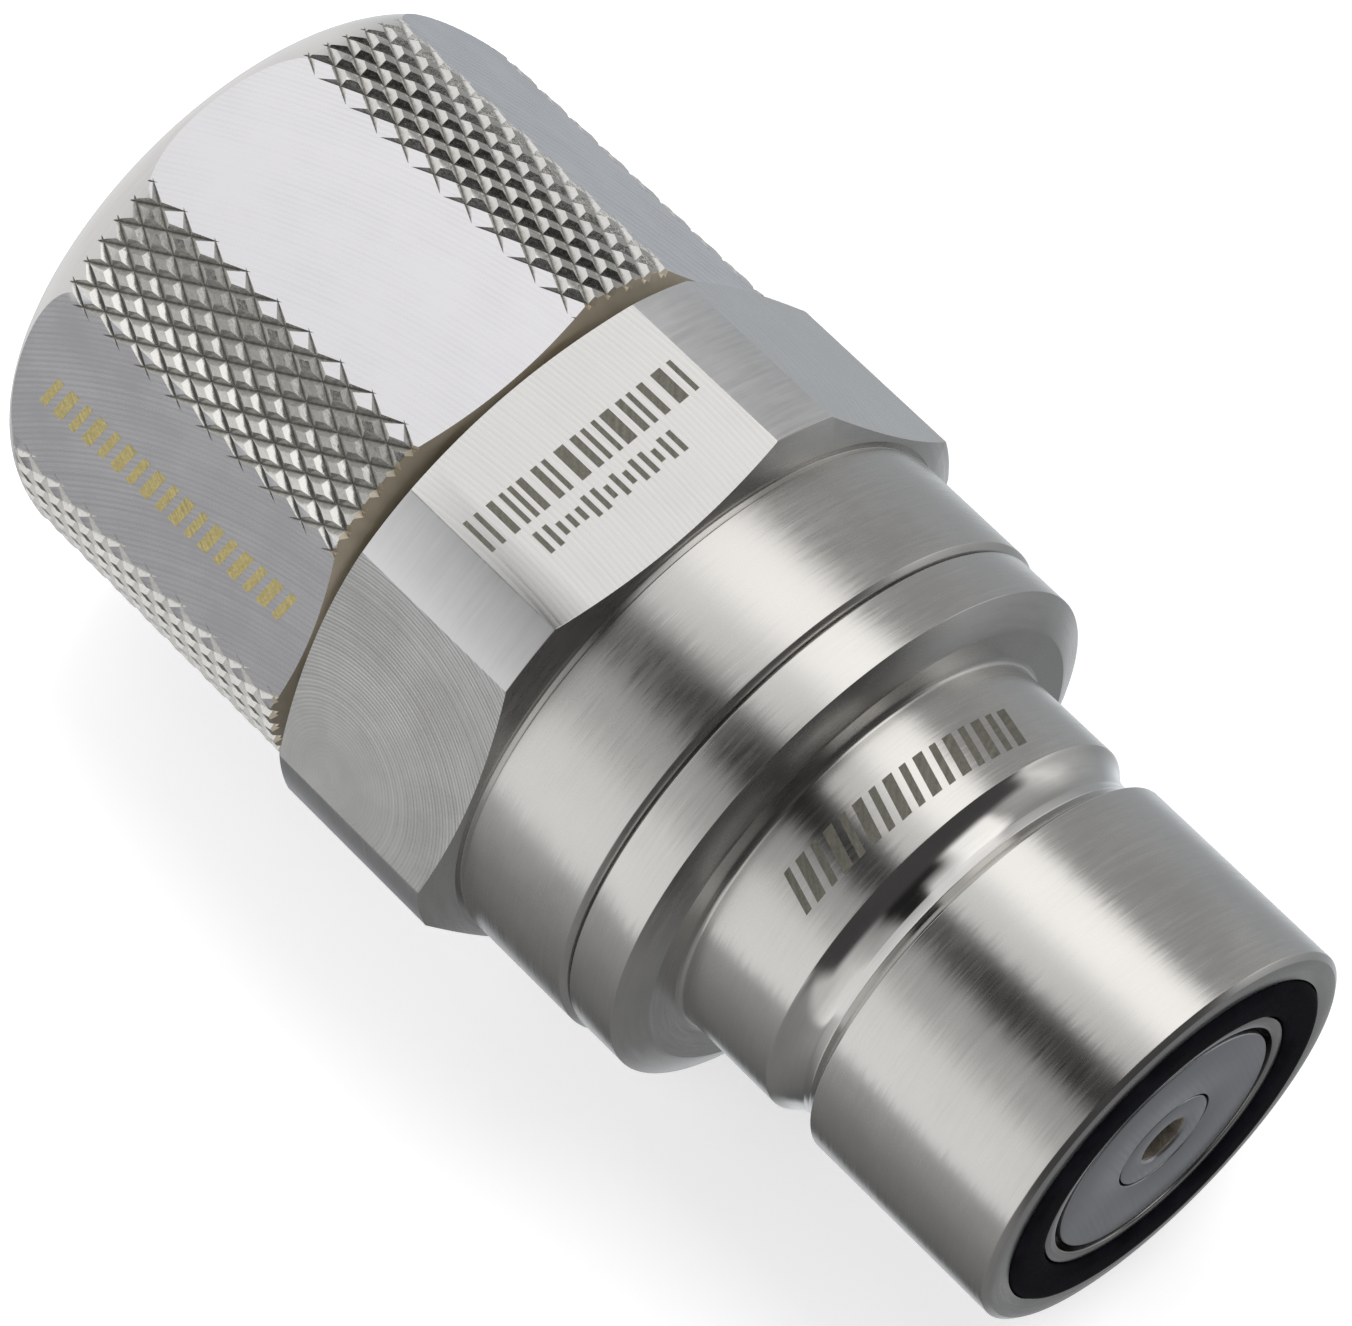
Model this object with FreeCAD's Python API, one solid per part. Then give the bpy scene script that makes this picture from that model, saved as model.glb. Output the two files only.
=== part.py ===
import FreeCAD, Part
import math
import os

# Quick disconnect coupler, male plug side: a flat-faced valved nose, a hex adapter
# with a hose spigot, and a knurled compression nut that clamps the hose.
#
# Frame: millimetres, +Z up. The coupler lies on its side with its axis along X and
# the nose toward +X. The hex stands on one of its flats at Z = 0, so the axis is
# half the hex's width up. The origin is under the middle of the overall length.
# Every turned part is drawn as (station, radius): stations are measured along the
# axis from the seam between the hex adapter and the nose body, radii from the axis.

# Overall
REAR_LENGTH = 26.5        # seam to the nut's rear face
FRONT_LENGTH = 15.8       # seam to the crown of the rubber face seal

# Hex adapter
HEX_WIDTH = 20.0          # across the wrench flats
HEX_BAR_RADIUS = 10.92    # round bar that the hex is milled from
HEX_REAR, HEX_FRONT = -12.0, -4.7
HEX_REAR_BEVEL = 0.5
HEX_FRONT_BEVEL = 0.45
BARREL_RADIUS = 9.74      # plain barrel between the hex and the seam
RELIEF_DEPTH = 0.13       # shallow relief at the barrel's root
RELIEF_WIDTH = 0.2
SEAM_BEVEL = 0.15
PILOT_BORE = 8.5          # bore for the nose body's pilot
PILOT_THREAD_BORE = 8.3
PILOT_BORE_END = -6.3
CHANNEL_RADIUS = 6.0      # waterway behind the pilot, before it narrows
HOSE_BORE = 10.0          # inside diameter of the hose that fits the spigot
HOSE_OUTSIDE = 13.0       # outside diameter of that hose
SPIGOT_END = -24.4
SPIGOT_ROOT = -14.5
SPIGOT_LEAD = 0.6         # lead-in chamfer on the spigot's tip
FLOW_RADIUS = 4.0         # waterway through the spigot

# Compression nut and the ring in it
NUT_RADIUS = 10.3         # over the crests of the knurl
NUT_FLAT_WIDTH = 19.3     # across the six flats milled through the knurl
NUT_FRONT = -12.12
NUT_FRONT_BEVEL = 0.5     # length of the cone on the nut's front edge
NUT_FRONT_RADIUS = 9.4    # where that cone meets the front face
NUT_FACE_RADIUS = 8.4     # flat part of the rear face, inside the large rounding
MOUTH_RADIUS = 6.9        # hose mouth in the nut's rear face
MOUTH_BEVEL = 0.35
TAPER_FRONT, TAPER_END = -19.1, -24.6
TAPER_FRONT_RADIUS, TAPER_END_RADIUS = 8.3, 7.3
CLAMP_FRONT, CLAMP_REAR = -19.3, -24.4
CLAMP_SLIT = 0.8

# Clamping thread
THREAD_PITCH = 1.0
THREAD_CREST = 8.45       # external thread on the adapter
THREAD_ROOT = 7.9
NUT_THREAD_ROOT = 8.6     # internal thread in the nut
NUT_THREAD_CREST = 8.02
THREAD_START, THREAD_END = -18.4, -12.9
STUB_RIDGE_START = THREAD_START + 0.4
NUT_RIDGE_START = THREAD_START - 0.4
RIDGE_BASE_HALF = 0.35    # half widths of a thread ridge at its base and crest
RIDGE_CREST_HALF = 0.0625
RIDGE_BURIED = 0.15       # how far a ridge reaches into what carries it

# Nose body
FLANGE_RADIUS = 9.6
FLANGE_FACE = 2.45        # shoulder that meets the socket
FLANGE_CONE = 0.5         # length of the cone on the flange's front edge
FLANGE_CONE_RADIUS = 8.6
NOSE_RADIUS = 7.25        # neck and nose, either side of the ball-lock groove
NOSE_FACE = 15.6
GROOVE_REAR, GROOVE_FRONT = 6.2, 8.12
GROOVE_RADIUS = 6.77      # floor of the ball-lock groove
PILOT_END = -5.9
PILOT_RADIUS = 8.45
PILOT_THREAD_RADIUS = 8.25
PILOT_INNER = 6.6
SEAL_GROOVE_REAR, SEAL_GROOVE_FRONT = -1.6, -0.4
SEAL_GROOVE_FLOOR = 7.5
CHAMBER_RADIUS = 6.0      # valve chamber inside the nose
SEAT_REAR, SEAT_FRONT = 13.0, 13.8

# Rubber rings
SEAL_RADIUS = 6.27        # face seal, where it meets the nose's rim
SEAL_FOOT = 0.2           # dovetail that keeps the face seal in the nose
SEAL_FOOT_FRONT = NOSE_FACE - 0.6
SEAL_NECK = NOSE_FACE - 0.4
SEAL_CROWN_START = NOSE_FACE - 0.05
SEAL_BORE = 4.9
POPPET_CORD = 0.3
JOINT_CORD = 0.46

# Poppet, its disc and its screw
LIP_RADIUS, LIP_INNER = 4.86, 4.42
CUP_FLOOR = 14.6
STEM_RADIUS = 1.5
STEM_END = 0.4
SHOULDER_RADIUS = 5.5     # flange that carries the poppet seal
SHOULDER_FRONT = 12.35
TAP_RADIUS = 1.0          # threaded hole in the stem for the screw
TAP_END = 9.4
DISC_RADIUS = 4.2
COUNTERBORE_RADIUS = 1.8
HEAD_RADIUS = 1.74
HEAD_SEAT = 14.9
HEAD_FACE = NOSE_FACE - 0.02
SCREW_END = 9.5
SOCKET_WIDTH, SOCKET_DEPTH = 1.5, 1.1

# Spring, stem guide and the ring that keeps the guide in
SPRING_REAR, SPRING_FRONT = 3.4, 11.4
SPRING_RADIUS = 3.0       # to the middle of the wire
SPRING_WIRE = 0.55
SPRING_TURNS = 5.4
SPRING_END_GAP = 0.05
GUIDE_REAR, GUIDE_FRONT = 0.8, 2.0
GUIDE_RADIUS, GUIDE_RIM_INNER = 6.5, 5.0
GUIDE_POCKET = 6.6
HUB_REAR, HUB_FRONT = 0.4, 3.0
HUB_RADIUS, HUB_BORE = 2.8, 2.05
SPOKE_WIDTH = 1.4
RING_GROOVE = 7.0         # groove for the retaining ring
RING_OUTER, RING_INNER = 6.95, 5.6
RING_GAP = 3.2

AXIS_HEIGHT = HEX_WIDTH / 2
SEAM_X = (REAR_LENGTH - FRONT_LENGTH) / 2
RUNNING_GAP = 0.05
X_AXIS = FreeCAD.Vector(1, 0, 0)
ORIGIN = FreeCAD.Vector(0, 0, 0)


def at(station, radius):
    """A point of a turned outline, in the plane through the axis."""
    return FreeCAD.Vector(station, 0, radius)


def turned(start, *steps):
    """A solid of revolution about the axis. A step is a (station, radius) point,
    or a pair of them for an arc through the first point to the second."""
    edges, here = [], at(*start)
    for step in steps + (start,):
        if isinstance(step[0], tuple):
            end = at(*step[1])
            edges.append(Part.Arc(here, at(*step[0]), end).toShape())
        else:
            end = at(*step)
            edges.append(Part.makeLine(here, end))
        here = end
    face = Part.Face(Part.Wire(edges))
    return face.revolve(ORIGIN, X_AXIS, 360)


def tube(rear, front, outer, inner):
    """A plain ring between two stations."""
    return turned((rear, inner), (front, inner), (front, outer), (rear, outer))


def o_ring(station, ring_radius, cord_radius):
    """A round-section ring about the axis."""
    return Part.makeTorus(ring_radius, cord_radius, at(station, 0), X_AXIS)


def block(rear, front, width, low, high):
    """A box over the axis: its stations, its width across Y, and its heights above the axis."""
    return Part.makeBox(front - rear, width, high - low, FreeCAD.Vector(rear, -width / 2, low))


def hexagon(rear, front, width):
    """A six-sided bar about the axis with one flat facing straight down."""
    corner = width / math.sqrt(3)
    points = []
    for side in range(7):
        angle = math.radians(60 * side)
        points.append(FreeCAD.Vector(rear, corner * math.cos(angle), corner * math.sin(angle)))
    return Part.Face(Part.makePolygon(points)).extrude(FreeCAD.Vector(front - rear, 0, 0))


def milled_waste(rear, front, width, bar_radius):
    """What a mill takes off a round bar to leave six flats of this width."""
    ring = tube(rear, front, bar_radius + 1, width / 2 - 0.5)
    return ring.cut(hexagon(rear - 0.1, front + 0.1, width))


def around(shape, angle):
    """A copy turned about the axis by an angle in degrees."""
    copy = shape.copy()
    copy.rotate(ORIGIN, X_AXIS, angle)
    return copy


def wound(profile, pitch, rear, front, radius):
    """A profile swept along a right-handed helix about the axis, between two stations."""
    helix = Part.makeHelix(pitch, front - rear, radius)
    coil = Part.Wire(helix).makePipeShell([profile], True, True)
    coil.rotate(ORIGIN, FreeCAD.Vector(0, 1, 0), 90)
    coil.translate(at(rear, 0))
    return coil


def thread_ridge(rear, front, base_radius, crest_radius):
    """One right-handed thread ridge. It points outward where the crest is the larger radius,
    and its foot is buried in what carries it."""
    outward = math.copysign(1, crest_radius - base_radius)
    buried_radius = base_radius - outward * RIDGE_BURIED
    slope = (RIDGE_BASE_HALF - RIDGE_CREST_HALF) / abs(crest_radius - base_radius)
    buried_half = RIDGE_BASE_HALF + slope * RIDGE_BURIED
    profile = Part.makePolygon([
        FreeCAD.Vector(buried_radius, 0, -buried_half),
        FreeCAD.Vector(crest_radius, 0, -RIDGE_CREST_HALF),
        FreeCAD.Vector(crest_radius, 0, RIDGE_CREST_HALF),
        FreeCAD.Vector(buried_radius, 0, buried_half),
        FreeCAD.Vector(buried_radius, 0, -buried_half),
    ])
    return wound(profile, THREAD_PITCH, rear, front, base_radius)


def hex_adapter():
    """Hex, barrel, threaded stub and hose spigot, turned from one bar."""
    spigot = HOSE_BORE / 2
    pocket = HOSE_OUTSIDE / 2 + 0.2
    relief = BARREL_RADIUS - RELIEF_DEPTH
    body = turned(
        (SPIGOT_END, FLOW_RADIUS),
        (SPIGOT_END, spigot - 0.35),
        (SPIGOT_END + SPIGOT_LEAD, spigot),
        (SPIGOT_ROOT, spigot),
        (SPIGOT_ROOT, pocket),
        (THREAD_START, pocket),
        (THREAD_START, THREAD_ROOT),
        (HEX_REAR, THREAD_ROOT),
        (HEX_REAR, BARREL_RADIUS - 0.04),
        (HEX_REAR + HEX_REAR_BEVEL, HEX_BAR_RADIUS),
        (HEX_FRONT - HEX_FRONT_BEVEL, HEX_BAR_RADIUS),
        (HEX_FRONT, BARREL_RADIUS + 0.1),
        (HEX_FRONT, relief),
        (HEX_FRONT + RELIEF_WIDTH, relief),
        (HEX_FRONT + RELIEF_WIDTH + 0.05, BARREL_RADIUS),
        (-SEAM_BEVEL, BARREL_RADIUS),
        (0, BARREL_RADIUS - 0.2),
        (0, PILOT_BORE),
        (-2.3, PILOT_BORE),
        (-2.5, PILOT_THREAD_BORE),
        (PILOT_BORE_END, PILOT_THREAD_BORE),
        (PILOT_BORE_END, CHANNEL_RADIUS),
        (-9.0, FLOW_RADIUS),
    )
    waste = milled_waste(HEX_REAR - 0.1, HEX_FRONT - 0.05, HEX_WIDTH, HEX_BAR_RADIUS)
    ridge = thread_ridge(STUB_RIDGE_START, THREAD_END - 0.4, THREAD_ROOT, THREAD_CREST)
    return body.cut(waste).fuse(ridge)


def compression_nut():
    """Knurled nut with six flats, an internal thread, a clamping taper and a hose mouth."""
    rear = -REAR_LENGTH
    relief = NUT_THREAD_ROOT + 0.15
    shell = turned(
        (rear, MOUTH_RADIUS + MOUTH_BEVEL),
        (rear, NUT_FACE_RADIUS),
        ((rear + 0.75, 9.62), (rear + 2.4, NUT_RADIUS)),
        (NUT_FRONT - NUT_FRONT_BEVEL, NUT_RADIUS),
        (NUT_FRONT, NUT_FRONT_RADIUS),
        (NUT_FRONT, relief),
        (THREAD_END, relief),
        (THREAD_END, NUT_THREAD_ROOT),
        (TAPER_FRONT, NUT_THREAD_ROOT),
        (TAPER_FRONT, TAPER_FRONT_RADIUS),
        (TAPER_END, TAPER_END_RADIUS),
        (TAPER_END, MOUTH_RADIUS),
        (rear + MOUTH_BEVEL, MOUTH_RADIUS),
    )
    waste = milled_waste(rear - 0.5, NUT_FRONT + 0.5, NUT_FLAT_WIDTH, NUT_RADIUS)
    ridge = thread_ridge(NUT_RIDGE_START, THREAD_END - 0.5, NUT_THREAD_ROOT, NUT_THREAD_CREST)
    # turned so that the nut's ridge runs midway between two turns of the stub's
    phase = 360 * ((NUT_RIDGE_START - STUB_RIDGE_START) / THREAD_PITCH - 0.5)
    return shell.cut(waste).fuse(around(ridge, phase))


def clamp_ring():
    """Split ring that the nut's taper squeezes onto the hose."""
    inner = HOSE_OUTSIDE / 2 + RUNNING_GAP
    ring = turned(
        (CLAMP_REAR, inner),
        (CLAMP_FRONT, inner),
        (CLAMP_FRONT, TAPER_FRONT_RADIUS - 0.15),
        (CLAMP_REAR, TAPER_END_RADIUS - 0.08),
    )
    slit = block(CLAMP_REAR - 0.1, CLAMP_FRONT + 0.1, CLAMP_SLIT, inner - 1, NUT_RADIUS)
    return ring.cut(slit)


def nose_body():
    """Flange, neck, ball-lock groove and nose, with the valve chamber inside."""
    rear_flank = (GROOVE_REAR + 0.25, GROOVE_RADIUS + 0.15)
    front_flank = (GROOVE_FRONT - 0.5, GROOVE_RADIUS + 0.17)
    return turned(
        (PILOT_END, PILOT_INNER),
        (PILOT_END, PILOT_THREAD_RADIUS - 0.25),
        (PILOT_END + 0.3, PILOT_THREAD_RADIUS),
        (-2.3, PILOT_THREAD_RADIUS),
        (-2.1, PILOT_RADIUS),
        (SEAL_GROOVE_REAR, PILOT_RADIUS),
        (SEAL_GROOVE_REAR, SEAL_GROOVE_FLOOR),
        (SEAL_GROOVE_FRONT, SEAL_GROOVE_FLOOR),
        (SEAL_GROOVE_FRONT, PILOT_RADIUS),
        (0, PILOT_RADIUS),
        (0, FLANGE_RADIUS - 0.18),
        (SEAM_BEVEL, FLANGE_RADIUS),
        (FLANGE_FACE - FLANGE_CONE, FLANGE_RADIUS),
        (FLANGE_FACE - 0.05, FLANGE_CONE_RADIUS + 0.05),
        (FLANGE_FACE, FLANGE_CONE_RADIUS - 0.05),
        (FLANGE_FACE, NOSE_RADIUS + 0.18),
        ((FLANGE_FACE + 0.05, NOSE_RADIUS + 0.05), (FLANGE_FACE + 0.18, NOSE_RADIUS)),
        (GROOVE_REAR, NOSE_RADIUS),
        (rear_flank, (GROOVE_REAR + 0.8, GROOVE_RADIUS)),
        (front_flank, (GROOVE_FRONT, NOSE_RADIUS)),
        (NOSE_FACE - 0.16, NOSE_RADIUS),
        ((NOSE_FACE - 0.05, NOSE_RADIUS - 0.12), (NOSE_FACE, NOSE_RADIUS - 0.34)),
        (NOSE_FACE, SEAL_RADIUS),
        (SEAL_NECK, SEAL_RADIUS),
        (SEAL_FOOT_FRONT, SEAL_RADIUS + SEAL_FOOT),
        (SEAT_FRONT, SEAL_RADIUS + SEAL_FOOT),
        (SEAT_FRONT, LIP_RADIUS + RUNNING_GAP),
        (SEAT_REAR, LIP_RADIUS + RUNNING_GAP),
        (SEAT_REAR, CHAMBER_RADIUS),
        (GUIDE_FRONT, CHAMBER_RADIUS),
        (GUIDE_FRONT, GUIDE_POCKET),
        (GUIDE_REAR, GUIDE_POCKET),
        (GUIDE_REAR, RING_GROOVE),
        (0, RING_GROOVE),
        (0, PILOT_INNER),
    )


def nose_face_seal():
    """Rubber ring in the nose face. Its front bulges past the metal rim."""
    middle = (SEAL_RADIUS + SEAL_BORE) / 2
    return turned(
        (SEAT_FRONT, SEAL_BORE),
        (SEAL_CROWN_START, SEAL_BORE),
        ((FRONT_LENGTH, middle), (SEAL_CROWN_START, SEAL_RADIUS)),
        (SEAL_NECK, SEAL_RADIUS),
        (SEAL_FOOT_FRONT, SEAL_RADIUS + SEAL_FOOT),
        (SEAT_FRONT, SEAL_RADIUS + SEAL_FOOT),
    )


def poppet():
    """Valve poppet: a cup with a thin lip, a sealing shoulder and a guided stem."""
    return turned(
        (STEM_END, 0),
        (STEM_END, STEM_RADIUS - 0.3),
        (STEM_END + 0.3, STEM_RADIUS),
        (SPRING_FRONT - 0.8, STEM_RADIUS),
        (SPRING_FRONT, STEM_RADIUS + 0.8),
        (SPRING_FRONT, SHOULDER_RADIUS - 0.2),
        (SPRING_FRONT + 0.2, SHOULDER_RADIUS),
        (SHOULDER_FRONT, SHOULDER_RADIUS),
        (SHOULDER_FRONT, LIP_RADIUS),
        (NOSE_FACE, LIP_RADIUS),
        (NOSE_FACE, LIP_INNER),
        (CUP_FLOOR, LIP_INNER),
        (CUP_FLOOR, TAP_RADIUS),
        (TAP_END, TAP_RADIUS),
        (TAP_END - 0.4, 0),
    )


def poppet_disc():
    """Flat front plate inside the poppet's lip, counterbored for its screw."""
    return turned(
        (CUP_FLOOR, TAP_RADIUS + 0.1),
        (CUP_FLOOR, DISC_RADIUS),
        (NOSE_FACE - 0.06, DISC_RADIUS),
        (NOSE_FACE, DISC_RADIUS - 0.06),
        (NOSE_FACE, COUNTERBORE_RADIUS),
        (HEAD_SEAT, COUNTERBORE_RADIUS),
        (HEAD_SEAT, TAP_RADIUS + 0.1),
    )


def poppet_screw():
    """Flush cap screw with a hexagon socket, threaded down into the stem."""
    shank = TAP_RADIUS - 0.02
    screw = turned(
        (SCREW_END, 0),
        (SCREW_END, shank - 0.28),
        (SCREW_END + 0.3, shank),
        (HEAD_SEAT, shank),
        (HEAD_SEAT, HEAD_RADIUS),
        (HEAD_FACE - 0.06, HEAD_RADIUS),
        (HEAD_FACE, HEAD_RADIUS - 0.06),
        (HEAD_FACE, 0),
    )
    countersink = turned(
        (NOSE_FACE - 0.3, 0), (NOSE_FACE - 0.3, 0.75), (NOSE_FACE, 1.15), (NOSE_FACE, 0)
    )
    socket = hexagon(NOSE_FACE - SOCKET_DEPTH, NOSE_FACE, SOCKET_WIDTH)
    return screw.cut(socket).cut(countersink)


def poppet_seal():
    """O-ring under the poppet's lip, between its shoulder and the seat."""
    return o_ring(SHOULDER_FRONT + POPPET_CORD + 0.01, LIP_RADIUS + POPPET_CORD + 0.04, POPPET_CORD)


def valve_spring():
    """Closing spring of the poppet, a round wire wound about the stem."""
    wire = SPRING_WIRE / 2
    rear = SPRING_REAR + wire + SPRING_END_GAP
    front = SPRING_FRONT - wire - SPRING_END_GAP
    section = Part.Wire(
        Part.makeCircle(wire, FreeCAD.Vector(SPRING_RADIUS, 0, 0), FreeCAD.Vector(0, 1, 0))
    )
    return wound(section, (front - rear) / SPRING_TURNS, rear, front, SPRING_RADIUS)


def spring_seat():
    """Washer between the spring and the stem guide."""
    return tube(HUB_FRONT, SPRING_REAR, SPRING_RADIUS + 0.6, STEM_RADIUS + 0.3)


def stem_guide():
    """Spider that guides the stem: a rim, a hub and three spokes with flow windows."""
    guide = tube(GUIDE_REAR, GUIDE_FRONT, GUIDE_RADIUS, GUIDE_RIM_INNER)
    guide = guide.fuse(tube(HUB_REAR, HUB_FRONT, HUB_RADIUS, HUB_BORE))
    spoke = block(GUIDE_REAR, GUIDE_FRONT, SPOKE_WIDTH, HUB_RADIUS - 0.3, GUIDE_RIM_INNER + 0.3)
    for number in range(3):
        guide = guide.fuse(around(spoke, 120 * number))
    return guide.removeSplitter()


def stem_bushing():
    """Low-friction sleeve in the guide's hub that the stem runs in."""
    return tube(HUB_REAR, HUB_FRONT, HUB_BORE, STEM_RADIUS + RUNNING_GAP)


def guide_retaining_ring():
    """Open ring sprung into the groove behind the stem guide."""
    ring = tube(RUNNING_GAP, GUIDE_REAR - RUNNING_GAP, RING_OUTER, RING_INNER)
    return ring.cut(block(0, GUIDE_REAR, RING_GAP, RING_INNER - 1, RING_OUTER + 1))


def body_joint_seal():
    """O-ring in the groove of the nose body's pilot, inside the adapter."""
    groove_middle = (SEAL_GROOVE_REAR + SEAL_GROOVE_FRONT) / 2
    return o_ring(groove_middle, SEAL_GROOVE_FLOOR + JOINT_CORD + 0.02, JOINT_CORD)


NODES = (
    hex_adapter,
    compression_nut,
    clamp_ring,
    nose_body,
    nose_face_seal,
    poppet,
    poppet_disc,
    poppet_screw,
    poppet_seal,
    valve_spring,
    spring_seat,
    stem_guide,
    stem_bushing,
    guide_retaining_ring,
    body_joint_seal,
)

os.makedirs("parts", exist_ok=True)
for make in NODES:
    shape = make()
    shape.translate(FreeCAD.Vector(SEAM_X, 0, AXIS_HEIGHT))
    shape.exportStep("parts/" + make.__name__ + ".step")
    box = shape.BoundBox
    print(
        f"{make.__name__}: valid {shape.isValid()}, solids {len(shape.Solids)},"
        f" volume {shape.Volume:.1f}, x {box.XMin:.2f} to {box.XMax:.2f},"
        f" z {box.ZMin:.2f} to {box.ZMax:.2f}"
    )
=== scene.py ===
import math
import random
import bmesh
import bpy
from mathutils import Matrix, Vector


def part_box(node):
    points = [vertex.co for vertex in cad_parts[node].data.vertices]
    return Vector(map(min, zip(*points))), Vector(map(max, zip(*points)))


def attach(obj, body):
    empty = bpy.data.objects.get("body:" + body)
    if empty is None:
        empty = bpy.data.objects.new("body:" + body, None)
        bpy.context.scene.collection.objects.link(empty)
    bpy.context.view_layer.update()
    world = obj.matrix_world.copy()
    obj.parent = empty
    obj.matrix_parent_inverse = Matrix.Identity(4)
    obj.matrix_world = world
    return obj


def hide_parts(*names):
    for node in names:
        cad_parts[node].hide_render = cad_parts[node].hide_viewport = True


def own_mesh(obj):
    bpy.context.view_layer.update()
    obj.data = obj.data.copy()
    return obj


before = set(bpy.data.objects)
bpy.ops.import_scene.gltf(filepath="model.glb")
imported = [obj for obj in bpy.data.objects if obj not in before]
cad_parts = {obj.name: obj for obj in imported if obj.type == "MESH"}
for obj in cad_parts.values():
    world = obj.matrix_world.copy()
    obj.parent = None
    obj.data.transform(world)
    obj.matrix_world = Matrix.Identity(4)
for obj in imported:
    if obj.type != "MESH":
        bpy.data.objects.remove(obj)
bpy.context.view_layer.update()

# ---------------------------------------------------------------------------
# Places from the frame. Lengths in this script are millimetres until a mesh is
# made; outlines are (station, radius) points, stations measured along the axis
# from the seam between the adapter and the nose body.
# ---------------------------------------------------------------------------
MM = 0.001
REAR_LENGTH = 26.5
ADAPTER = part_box("hex_adapter")
AXIS_Z = (ADAPTER[0].z + ADAPTER[1].z) / 2 / MM
SEAM_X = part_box("compression_nut")[0].x / MM + REAR_LENGTH
NUT_REAR = -REAR_LENGTH
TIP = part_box("nose_face_seal")[1].x / MM - SEAM_X
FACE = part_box("poppet")[1].x / MM - SEAM_X
HEX_WIDTH = (ADAPTER[1].z - ADAPTER[0].z) / MM
HEX_BAR_RADIUS = (ADAPTER[1].y - ADAPTER[0].y) / 2 / MM
HEX_REAR, HEX_FRONT = -12.0, -4.7
BARREL_RADIUS = 9.74
STUB_REAR = -18.4         # the adapter's threaded stub, behind the hex
STUB_RADIUS = 7.9
PILOT_RADIUS = 8.5        # where the nose body enters the adapter's barrel
THREAD_PITCH = 1.0
NUT_RADIUS = (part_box("compression_nut")[1].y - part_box("compression_nut")[0].y) / 2 / MM
NUT_FLAT = 9.65           # axis to the nut's six flats
NUT_FRONT = -12.12
NUT_BORE = 8.6
MOUTH_RADIUS = 6.9
FLANGE_RADIUS = (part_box("nose_body")[1].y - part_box("nose_body")[0].y) / 2 / MM
FLANGE_FACE = 2.45
NOSE_RADIUS = 7.25
GROOVE_REAR, GROOVE_FRONT = 6.2, 8.12
WATERWAY_RADIUS = 6.0
SEAT = 13.8               # rear end of the rubber ring
SEAL_RADIUS = 6.27        # outside of the rubber ring
SEAL_BORE = 4.9
LIP_RADIUS = 4.86         # outside of the poppet's lip ring
CUP_FLOOR = 14.6          # floor of the cup inside the lip ring
STEM_RADIUS = 1.5
DISC_RADIUS = 4.2
SOCKET_WIDTH = 1.5        # the screw's hexagon socket across its flats
SPRING_SEAT = 3.4

KNURL_COUNT = 80          # diamonds round the nut
KNURL_LENGTH = 1.43       # one diamond along the axis
KNURL_TIP = 10.46         # pointed tips, turned off flat at the nut's radius
KNURL_VALLEY = 10.08
# an odd phase and start keep the corners off the flats' planes, where an exact boolean fails
KNURL_PHASE = 0.63
KNURL_START = NUT_REAR - 1.217

ROUND = 256               # segments round the large turned parts
ROUND_SMALL = 192
SHARP = math.radians(24)


def place(station, across, height):
    """A point in the row frame, in metres, from a station and offsets from the axis in mm."""
    return Vector(((SEAM_X + station) * MM, across * MM, (AXIS_Z + height) * MM))


# ---------------------------------------------------------------------------
# Mesh helpers
# ---------------------------------------------------------------------------
def finish_mesh(name, bm, sharp=SHARP):
    """A smooth-shaded object with sharp edges by angle."""
    bmesh.ops.recalc_face_normals(bm, faces=bm.faces)
    mesh = bpy.data.meshes.new(name)
    bm.to_mesh(mesh)
    bm.free()
    obj = bpy.data.objects.new(name, mesh)
    bpy.context.scene.collection.objects.link(obj)
    shade(obj, sharp)
    return obj


def shade(obj, sharp=SHARP):
    """Smooth shading, with edges sharper than this angle left sharp."""
    obj.data.polygons.foreach_set("use_smooth", [True] * len(obj.data.polygons))
    obj.data.set_sharp_from_angle(angle=sharp)


def eased(outline, default=0.05, steps=3):
    """The outline with every corner rounded. A point's third value is its own radius."""
    out = []
    count = len(outline)
    for i, point in enumerate(outline):
        here = Vector(point[:2])
        radius = point[2] if len(point) > 2 else default
        before = Vector(outline[i - 1][:2])
        after = Vector(outline[(i + 1) % count][:2])
        a, b = before - here, after - here
        if radius <= 0 or here.y < 1e-6 or a.length < 1e-6 or b.length < 1e-6:
            out.append(tuple(here))
            continue
        half = a.angle(b) / 2
        if half > math.radians(86):
            out.append(tuple(here))
            continue
        back = min(radius / math.tan(half), a.length * 0.45, b.length * 0.45)
        radius = back * math.tan(half)
        centre = here + (a.normalized() + b.normalized()).normalized() * (radius / math.sin(half))
        start = here + a.normalized() * back - centre
        end = here + b.normalized() * back - centre
        sweep = start.angle_signed(end)
        for step in range(steps + 1):
            turn = -sweep * step / steps
            spun = Vector((
                start.x * math.cos(turn) - start.y * math.sin(turn),
                start.x * math.sin(turn) + start.y * math.cos(turn),
            ))
            out.append(tuple(centre + spun))
    return out


def within_half_turn(angle, other):
    """The same direction, written within half a turn of the other angle."""
    return angle - 2 * math.pi * round((angle - other) / (2 * math.pi))


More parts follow.
